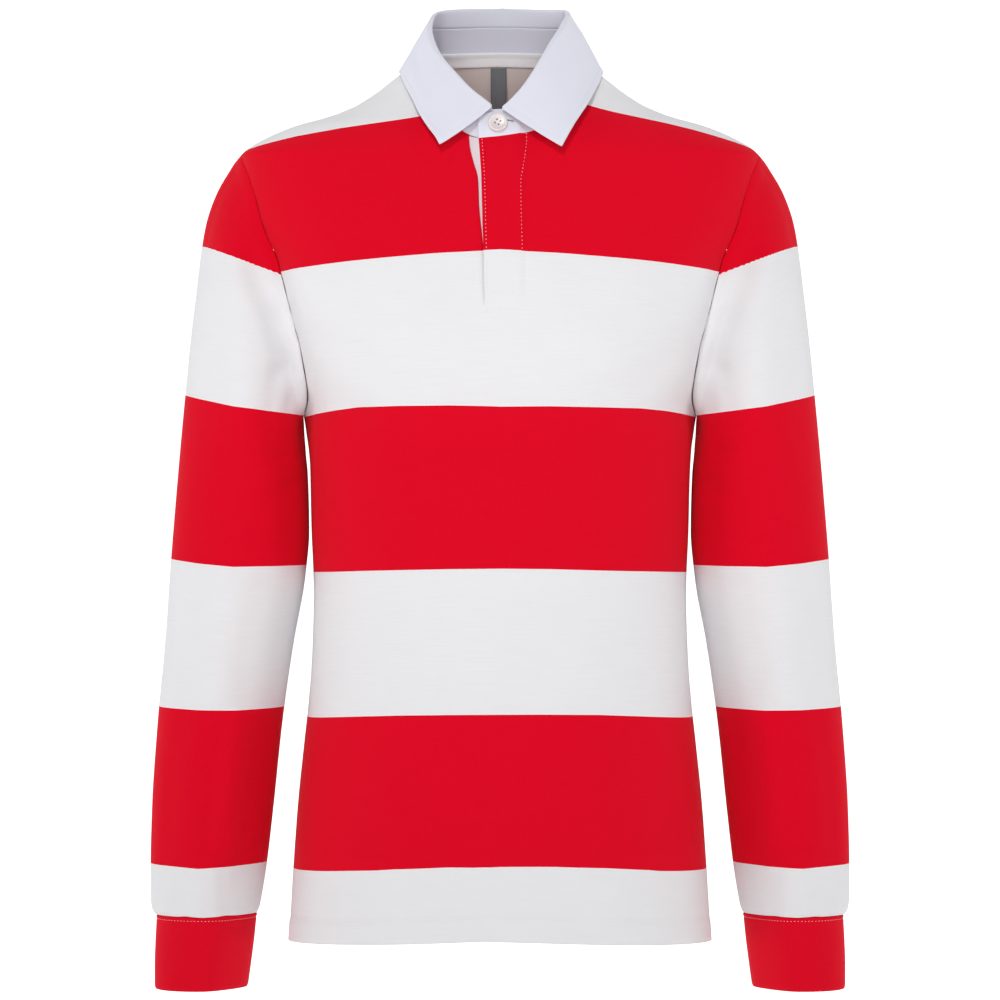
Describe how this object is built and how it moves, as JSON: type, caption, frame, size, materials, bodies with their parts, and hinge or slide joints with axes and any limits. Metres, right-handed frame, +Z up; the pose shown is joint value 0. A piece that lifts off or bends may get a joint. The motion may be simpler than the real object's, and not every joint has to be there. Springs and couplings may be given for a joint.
{
  "type": "long-sleeve polo shirt",
  "caption": "Long-sleeve striped polo shirt, filled out as if worn, with a woven collar, a short front placket with a button, and knit cuffs.",
  "frame": {"origin": "middle of the neck at the height of the neck points, where the wearer's shoulders carry the shirt", "axes": "+Z up from the hem to the collar, -Y to the front with the placket, +X towards the viewer's right when the front is seen"},
  "size_m": [0.5824, 0.2455, 0.8259],
  "materials": {
    "jersey": "red and white hooped cotton jersey, matt, fine vertical wales",
    "cuff_rib": "plain red knit, matt",
    "collar_twill": "white woven twill, matt",
    "tape": "white herringbone tape, matt",
    "ribbon": "dark grey woven ribbon, slight sheen",
    "resin": "off-white resin, soft gloss"
  },
  "bodies": {
    "root": {"front": "jersey", "back": "jersey", "sleeve_left": "jersey", "sleeve_right": "jersey", "cuff_left": "cuff_rib", "cuff_right": "cuff_rib", "collar_stand": "collar_twill", "collar_leaf": "collar_twill", "placket_facing": "collar_twill", "placket_under": "collar_twill", "neck_tape": "tape", "label": "ribbon", "button": "resin"}
  },
  "joints": []
}
